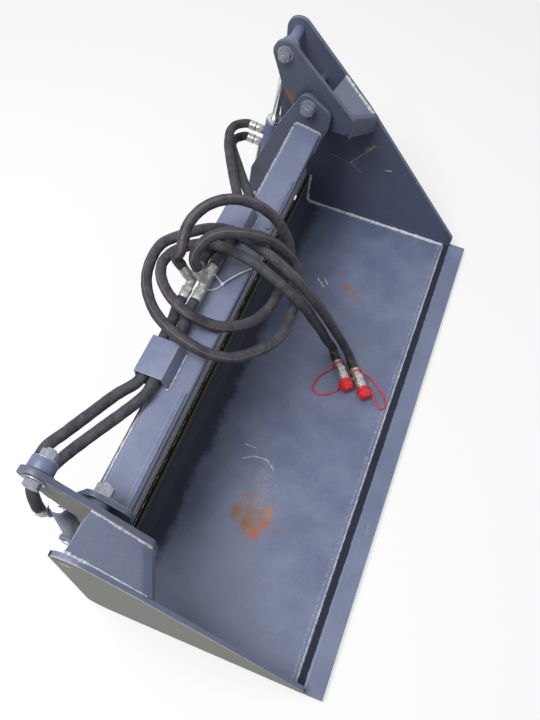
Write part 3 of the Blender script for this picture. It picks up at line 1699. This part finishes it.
@dataclass(frozen=True)
class Welds:
    """Weld beads in the corners between plates.

    Attributes:
        palette: the finishes.
        pitch: distance between the bead's ripples, in mm; real ones are 2 mm apart and would not show.
        step: distance between the bead's rings, in metres.
        lump: rings from one swelling to the next.
        swelling: least and most radius of a swelling, as shares of the bead's own.
        ripple: height of a ripple, as a share of the radius.
        stray: how far a ring strays each way, in metres.
    """

    palette: Palette
    pitch: float = 5.0
    step: float = 0.0022
    lump: int = 5
    swelling: tuple[float, float] = (0.62, 1.12)
    ripple: float = 0.12
    stray: float = 0.0005

    @staticmethod
    def beads() -> list[Bead]:
        """List every bead.

        Returns:
            The beads, jaw first.
        """
        jaw, frame = Body.JAW, Body.FRAME
        found = [
            Bead("weld_floor_right", jaw, heel_seam(737.5), 7.5, True),
            Bead("weld_floor_left", jaw, heel_seam(-737.5), 6.0),
            Bead("weld_edge", jaw, ((-735, 74.5, 15.8), (735, 74.5, 15.8)), 3.2),
            Bead("weld_tube_right", frame, around_tube(607), 5.5),
            Bead("weld_tube_left", frame, around_tube(-607), 5.5),
            Bead("weld_cover_arm_left", jaw, ((-652, 457.5, 502), (-652, 560, 603.5)), 4.2, True),
            Bead("weld_cover_plate_left", jaw, ((-737.5, 421, 466.5), (-737.5, 567.5, 610)), 3.6, True),
            Bead("weld_cover_foot_left", jaw, ((-652, 456, 497), (-737.5, 419.5, 461)), 3.5),
            Bead("weld_cover_arm_right", jaw, ((641.5, 457.5, 502), (641.5, 524, 567.5)), 3.5),
            Bead("weld_cover_plate_right", jaw, ((737.5, 405.5, 452), (737.5, 513, 557)), 6.0, True),
        ]
        for side, x in (("left", -265.0), ("right", 185.0)):
            guard = f"weld_guard_{side}"
            for part, at in (("a", x - 50.0), ("b", x + 50.0)):
                found.append(Bead(f"{guard}_{part}", frame, ((at, 578.3, 455.6), (at, 585, 457.2)), 3.0))
            found.append(Bead(f"{guard}_foot", frame, ((x - 49, 577.6, 455.6), (x + 49, 577.6, 455.6)), 3.0))
        for side, x in (("left", -125.0), ("right", 125.0)):
            for part, face in (("a", -27.5), ("b", -15.5), ("c", 15.5), ("d", 27.5)):
                route = ((x + face, 611.5, 169), (x + face, 636, 364.3), (x + face, 624.6, 425))
                found.append(Bead(f"weld_hitch_{side}_{part}", frame, route, 4.0))
        for side, xs in (("left", (-654, -642, -596)), ("right", (596, 670, 682))):
            for k, x in enumerate(xs):
                found.append(Bead(f"weld_lug_{side}_{k}", frame, ((x, 610.5, 162), (x, 622.5, 258)), 4.0))
        found.append(Bead("weld_sheet_top", frame, ((-600, 613.5, 446.5), (600, 613.5, 446.5)), 4.5))
        return found

    def lay(self, spec: Bead) -> None:
        """Lay one bead, rippled and a little uneven.

        Args:
            spec: the bead.
        """
        chance = random.Random(sum(map(ord, spec.name)))
        line = evenly([point(*p) for p in spec.route], self.step)
        count = len(line) // self.lump + 3
        swell = [chance.uniform(*self.swelling) for _ in range(count)]
        shift = [chance.uniform(-0.5, 0.5) for _ in range(count)]
        wandering = [p + Vector([chance.uniform(-1, 1) for _ in range(3)]) * self.stray for p in line]

        def radius(done: float, angle: float) -> float:
            """Radius of the rippled bead.

            Args:
                done: distance along the line, in metres.
                angle: angle round it.

            Returns:
                The radius in metres.
            """
            place = done / self.step / self.lump
            k = min(int(place), len(swell) - 2)
            smooth = swell[k] * (1 - place + k) + swell[k + 1] * (place - k)
            ripple = self.ripple * math.sin(done / (self.pitch * MM) * math.tau + shift[k])
            return spec.radius * MM * (smooth + ripple)

        mesh = bmesh.new()
        sweep(mesh, wandering, radius, 10)
        made = new_piece(spec.name, mesh, self.palette[Finish.BRIGHT_BEAD if spec.chipped else Finish.BEAD])
        settle(made, spec.body)

    def build(self) -> None:
        """Lay every bead."""
        for spec in self.beads():
            self.lay(spec)


@dataclass(frozen=True)
class CakedSoil:
    """Earth caked under the foot of the back sheet, above the heel that swings away from it.

    Attributes:
        palette: the finishes.
        thick: how thick it is at most, in mm.
        ends: its two ends, in mm.
        step: distance between its rings, in metres.
        wander: how far it strays to each side, in mm.
    """

    palette: Palette
    thick: float = 6.4
    ends: tuple[Triple, Triple] = ((-604, 587.0, 147.0), (604, 587.0, 147.0))
    step: float = 0.004
    wander: float = 0.15

    def build(self) -> None:
        """Heap the earth up as one ragged strip."""
        chance = random.Random(7)
        line = evenly([point(*p) for p in self.ends], self.step)
        lumps = [chance.uniform(0.92, 1.0) for _ in line]
        far = self.wander
        line = [p + Vector((0.0, chance.uniform(-far, far), chance.uniform(-far, far))) * MM for p in line]

        def radius(done: float, angle: float) -> float:
            """Radius of the lumpy strip."""
            return self.thick / 2 * MM * lumps[min(len(lumps) - 1, round(done / self.step))]

        mesh = bmesh.new()
        sweep(mesh, line, radius, 12)
        settle(new_piece("caked_soil", mesh, self.palette[Finish.EARTH]), Body.FRAME)


@dataclass(frozen=True)
class TieStrap:
    """White nylon tie, loose round the front tee, with its lock on the tube and its long tail.

    Attributes:
        palette: the finishes.
        loop: points of the loop in mm, from the lock up over the tee and back under it.
        tail: points of the tail in mm, from the lock.
        half: half the strap's width and half its thickness, in mm.
        lock: the lock's four-sided rings, in mm.
    """

    palette: Palette
    loop: tuple[Triple, ...] = (
        (0, 580, 460.5), (3, 592, 472), (1, 600, 488), (-5, 611, 504.5), (-9, 621, 503),
        (-12, 628.6, 492), (-18, 627.5, 476), (-28, 616, 468), (-33, 606, 465), (-27, 596, 462.5),
        (-14, 585, 460),
)
    tail: tuple[Triple, ...] = ((0, 580, 461), (24, 566, 464), (52, 549, 461), (79, 533, 452.5))
    half: tuple[float, float] = (1.7, 0.75)
    lock: tuple[tuple[float, ...], ...] = ((-4.0, 3.0, 4), (-3.4, 3.8, 4), (3.4, 3.8, 4), (4.0, 3.0, 4))

    def across(self, done: float, angle: float) -> float:
        """Radius of the strap's flat section at an angle, in metres."""
        wide, thin = self.half
        return wide * thin / math.hypot(thin * math.cos(angle), wide * math.sin(angle)) * MM

    def build(self) -> None:
        """Build the strap as a flat band round the tee, a lock and a tail."""
        mesh = bmesh.new()
        ring = evenly(smooth_route([*self.loop, self.loop[0]], 6), THIN_PITCH)[:-1]
        sweep(mesh, ring, self.across, 12, closed=True)
        sweep(mesh, evenly(smooth_route(self.tail, 6), THIN_PITCH), self.across, 12)
        lock = point(*self.loop[0])
        turn_up(mesh, self.lock, lock, (point(*self.tail[1]) - lock).normalized(), 16)
        settle(new_piece("white_tie", mesh, self.palette[Finish.WHITE]), Body.FRAME, "cable_tie")


def main() -> None:
    """Build the bucket's looks in order."""
    logging.basicConfig(level=logging.INFO, format="%(name)s: %(message)s")
    for leftover in list(bpy.data.objects):
        bpy.data.objects.remove(leftover)
    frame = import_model()
    Studio().build()
    palette = {finish: finish.value.material() for finish in Finish}
    hoses = Hoses(palette)
    bands = hoses.build()
    ends = {node: coupling.build(palette) for node, coupling in COUPLINGS.items()}
    hoses.declare()
    TieStrap(palette).build()
    Dressing(palette).build(frame["nodes"])
    for piece in PLAIN_PIECES:
        piece.build(palette)
    Welds(palette).build()
    CakedSoil(palette).build()


if __name__ == "__main__":
    main()
